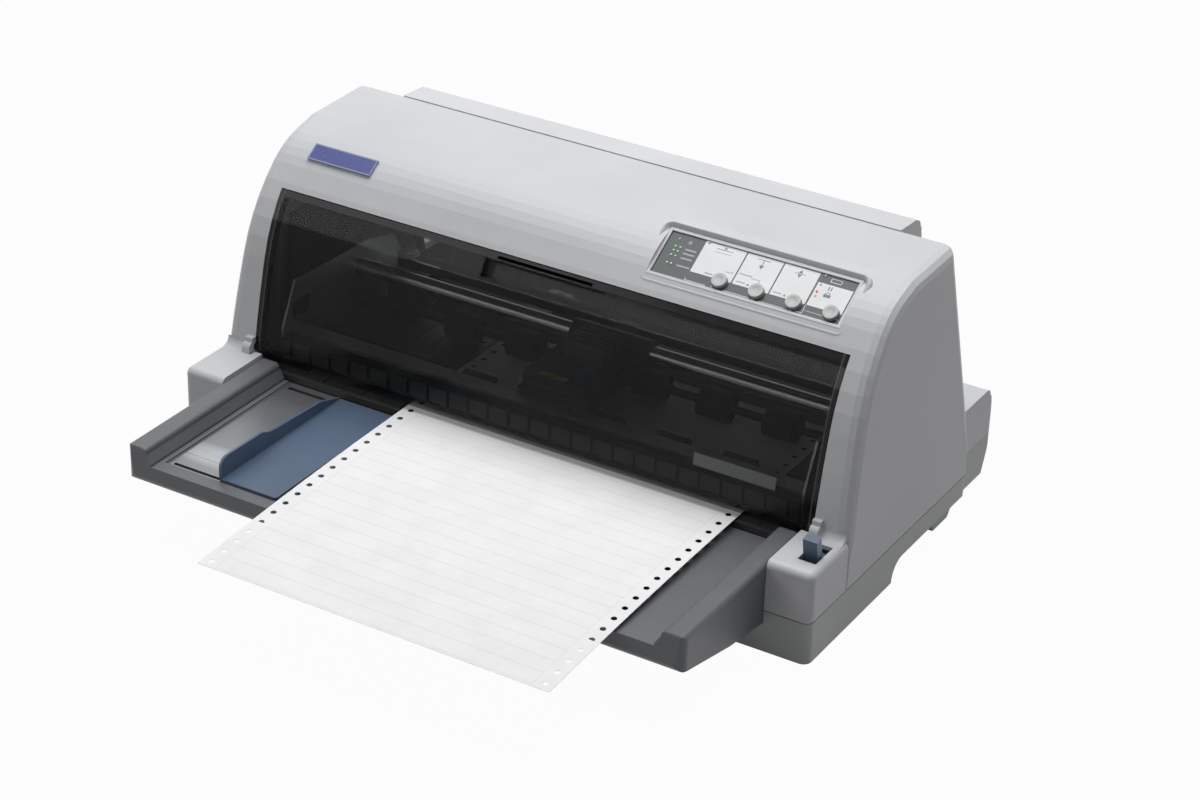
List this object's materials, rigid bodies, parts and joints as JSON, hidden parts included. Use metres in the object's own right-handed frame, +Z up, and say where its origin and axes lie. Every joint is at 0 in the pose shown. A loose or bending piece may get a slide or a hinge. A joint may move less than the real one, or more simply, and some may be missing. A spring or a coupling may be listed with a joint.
{
  "type": "dot matrix printer",
  "caption": "Flat-bed impact printer with a smoked front cover, front paper tray, sprung panel buttons, rear tractors and a punched form running through it.",
  "frame": {"origin": "on the table plane under the middle of the case, at half its width and half its depth", "axes": "+X to the right seen from the front, +Y to the rear, +Z up"},
  "size_m": [0.48, 0.444, 0.2104],
  "materials": {
    "case": "fine texture, cool light grey",
    "case_base": "fine texture, cool light grey",
    "hood": "fine texture, pale grey",
    "smoked_cover": "smoked transparent plastic, polished",
    "plate_grey": "bare plate",
    "badge": "bare blue plate",
    "tray": "dark grey, fine texture",
    "sheet_steel": "painted steel plate",
    "guide_blue": "slate blue",
    "panel": "dark grey-green panel",
    "button": "warm light grey",
    "circuit": "green board",
    "steel_pin": "ground steel",
    "frame_steel": "zinc plated sheet",
    "platen": "rubber face",
    "inner_black": "black moulding",
    "roller": "rubber rollers on a steel shaft",
    "gear": "natural acetal",
    "brass": "turned brass",
    "motor": "grey motor cans",
    "tractor_grey": "dark grey moulding",
    "head": "dark anodised finned block",
    "knob": "blue knob",
    "belt": "black belt",
    "pulley": "turned aluminium",
    "socket": "black sockets",
    "screw": "plated screws",
    "foot": "rubber feet",
    "paper": "white continuous form with sprocket holes"
  },
  "bodies": {
    "machine": {"lower_case": "case_base", "rubber_feet": "foot", "upper_case": "case", "hinge_blocks": "case", "badge_plate": "badge", "front_tray": "tray", "tray_insert": "sheet_steel", "panel_bezel": "panel", "panel_board": "circuit", "lever_pin": "steel_pin", "side_frame_left": "frame_steel", "side_frame_right": "frame_steel", "chassis_plate": "frame_steel", "platen_bar": "platen", "front_frame": "inner_black", "lower_paper_guide": "inner_black", "feed_motor": "motor", "tractor_rail": "steel_pin", "carriage_rod": "steel_pin", "front_rail": "frame_steel", "timing_belt": "belt", "carriage_motor": "motor", "main_board": "circuit", "power_supply": "frame_steel", "rear_ports": "socket", "case_screws": "screw"},
    "front_cover": {"front_cover": "smoked_cover", "model_plate": "plate_grey"},
    "rear_hood": {"rear_hood": "hood"},
    "edge_guide": {"edge_guide": "guide_blue"},
    "button_1": {"button_1": "button"},
    "button_2": {"button_2": "button"},
    "button_3": {"button_3": "button"},
    "button_4": {"button_4": "button"},
    "release_lever": {"release_lever": "guide_blue"},
    "front_feed": {"front_feed_shaft": "roller", "feed_gear_front": "gear"},
    "rear_feed": {"rear_feed_shaft": "roller", "feed_gear_rear": "gear"},
    "front_pinch": {"front_pinch_shaft": "roller"},
    "rear_pinch": {"rear_pinch_shaft": "roller"},
    "middle_gear": {"middle_gear": "gear"},
    "link_gear": {"link_gear": "gear"},
    "motor_pinion": {"motor_pinion": "brass"},
    "tractor_drive": {"tractor_shaft": "steel_pin", "tractor_gear": "gear"},
    "tractor_left": {"tractor_left": "tractor_grey"},
    "tractor_right": {"tractor_right": "tractor_grey"},
    "tractor_pulley_left": {"tractor_pulley_left": "gear"},
    "tractor_pulley_right": {"tractor_pulley_right": "gear"},
    "tractor_flap_left": {"tractor_flap_left": "tractor_grey"},
    "tractor_flap_right": {"tractor_flap_right": "tractor_grey"},
    "carriage": {"carriage": "inner_black", "print_head": "head", "ribbon_cartridge": "inner_black"},
    "ribbon_knob": {"ribbon_knob": "knob"},
    "drive_pulley": {"drive_pulley": "pulley"},
    "idler_pulley": {"idler_pulley": "pulley"},
    "power_rocker": {"power_rocker": "socket"},
    "paper_form": {"paper_form": "paper"}
  },
  "joints": [
    {"name": "cover_tilt", "type": "hinge", "parent": "machine", "child": "front_cover", "pos_m": [0, -0.035, 0.07], "axis": [1, 0, 0], "range_deg": [0, 90]},
    {"name": "hood_tilt", "type": "hinge", "parent": "machine", "child": "rear_hood", "pos_m": [0, 0.113, 0.15], "axis": [-1, 0, 0], "range_deg": [0, 60]},
    {"name": "guide_slide", "type": "slide", "parent": "machine", "child": "edge_guide", "axis": [-1, 0, 0], "range_m": [0, 0.038]},
    {"name": "button_1_press", "type": "slide", "parent": "machine", "child": "button_1", "axis": [0, 0.5255, -0.8508], "range_m": [0, 0.0012], "stiffness_N_per_m": 400, "springref_m": -0.0004},
    {"name": "button_2_press", "type": "slide", "parent": "machine", "child": "button_2", "axis": [0, 0.5255, -0.8508], "range_m": [0, 0.0012], "stiffness_N_per_m": 400, "springref_m": -0.0004},
    {"name": "button_3_press", "type": "slide", "parent": "machine", "child": "button_3", "axis": [0, 0.5255, -0.8508], "range_m": [0, 0.0012], "stiffness_N_per_m": 400, "springref_m": -0.0004},
    {"name": "button_4_press", "type": "slide", "parent": "machine", "child": "button_4", "axis": [0, 0.5255, -0.8508], "range_m": [0, 0.0012], "stiffness_N_per_m": 400, "springref_m": -0.0004},
    {"name": "lever_tilt", "type": "hinge", "parent": "machine", "child": "release_lever", "pos_m": [0.2283, -0.057, 0.042], "axis": [-1, 0, 0], "range_deg": [0, 20]},
    {"name": "rear_feed_spin", "type": "hinge", "parent": "machine", "child": "rear_feed", "pos_m": [0, 0.068, 0.0517], "axis": [1, 0, 0], "continuous": true},
    {"name": "front_feed_spin", "type": "hinge", "parent": "machine", "child": "front_feed", "pos_m": [0, 0.008, 0.0517], "axis": [1, 0, 0], "continuous": true},
    {"name": "front_pinch_spin", "type": "hinge", "parent": "machine", "child": "front_pinch", "pos_m": [0, 0.008, 0.068], "axis": [1, 0, 0], "continuous": true},
    {"name": "rear_pinch_spin", "type": "hinge", "parent": "machine", "child": "rear_pinch", "pos_m": [0, 0.068, 0.071], "axis": [1, 0, 0], "continuous": true},
    {"name": "middle_gear_spin", "type": "hinge", "parent": "machine", "child": "middle_gear", "pos_m": [0, 0.038, 0.0517], "axis": [1, 0, 0], "continuous": true},
    {"name": "link_gear_spin", "type": "hinge", "parent": "machine", "child": "link_gear", "pos_m": [0, 0.09483, 0.05472], "axis": [1, 0, 0], "continuous": true},
    {"name": "motor_pinion_spin", "type": "hinge", "parent": "machine", "child": "motor_pinion", "pos_m": [0, 0.02404, 0.03469], "axis": [1, 0, 0], "continuous": true},
    {"name": "tractor_drive_spin", "type": "hinge", "parent": "machine", "child": "tractor_drive", "pos_m": [0, 0.12166, 0.05775], "axis": [1, 0, 0], "continuous": true},
    {"name": "tractor_left_slide", "type": "slide", "parent": "machine", "child": "tractor_left", "axis": [1, 0, 0], "range_m": [-0.05, 0.05]},
    {"name": "tractor_right_slide", "type": "slide", "parent": "machine", "child": "tractor_right", "axis": [1, 0, 0], "range_m": [-0.06, 0.015]},
    {"name": "tractor_pulley_left_spin", "type": "hinge", "parent": "tractor_left", "child": "tractor_pulley_left", "pos_m": [-0.086, 0.12166, 0.05775], "axis": [1, 0, 0], "continuous": true},
    {"name": "tractor_pulley_right_spin", "type": "hinge", "parent": "tractor_right", "child": "tractor_pulley_right", "pos_m": [0.156, 0.12166, 0.05775], "axis": [1, 0, 0], "continuous": true},
    {"name": "tractor_flap_left_tilt", "type": "hinge", "parent": "tractor_left", "child": "tractor_flap_left", "pos_m": [-0.0975, 0.13866, 0.06475], "axis": [0, -1, 0], "range_deg": [0, 95]},
    {"name": "tractor_flap_right_tilt", "type": "hinge", "parent": "tractor_right", "child": "tractor_flap_right", "pos_m": [0.1675, 0.13866, 0.06475], "axis": [0, 1, 0], "range_deg": [0, 95]},
    {"name": "carriage_slide", "type": "slide", "parent": "machine", "child": "carriage", "axis": [1, 0, 0], "range_m": [-0.13, 0.13]},
    {"name": "ribbon_knob_spin", "type": "hinge", "parent": "carriage", "child": "ribbon_knob", "pos_m": [0.022, 0.006, 0.1], "axis": [0, 0, 1], "continuous": true},
    {"name": "drive_pulley_spin", "type": "hinge", "parent": "machine", "child": "drive_pulley", "pos_m": [-0.178, 0.094, 0.0945], "axis": [0, 0, 1], "continuous": true},
    {"name": "idler_pulley_spin", "type": "hinge", "parent": "machine", "child": "idler_pulley", "pos_m": [0.178, 0.094, 0.0945], "axis": [0, 0, 1], "continuous": true},
    {"name": "rocker_tilt", "type": "hinge", "parent": "machine", "child": "power_rocker", "pos_m": [-0.148, 0.171, 0.031], "axis": [-1, 0, 0], "range_deg": [0, 12]},
    {"name": "paper_slide", "type": "slide", "parent": "machine", "child": "paper_form", "axis": [0, -1, 0], "range_m": [0, 0.12]}
  ],
  "couplings": [
    {"joint": "front_feed_spin", "follows": "rear_feed_spin", "ratio": 1},
    {"joint": "middle_gear_spin", "follows": "rear_feed_spin", "ratio": -0.875},
    {"joint": "motor_pinion_spin", "follows": "rear_feed_spin", "ratio": 2.3333},
    {"joint": "link_gear_spin", "follows": "rear_feed_spin", "ratio": -1.0769},
    {"joint": "tractor_drive_spin", "follows": "rear_feed_spin", "ratio": 1},
    {"joint": "tractor_pulley_left_spin", "follows": "rear_feed_spin", "ratio": 1},
    {"joint": "tractor_pulley_right_spin", "follows": "rear_feed_spin", "ratio": 1},
    {"joint": "rear_pinch_spin", "follows": "rear_feed_spin", "ratio": -0.76191},
    {"joint": "front_pinch_spin", "follows": "rear_feed_spin", "ratio": -1.0667},
    {"joint": "drive_pulley_spin", "follows": "carriage_slide", "rad_per_m": 166.67},
    {"joint": "idler_pulley_spin", "follows": "carriage_slide", "rad_per_m": 166.67}
  ]
}
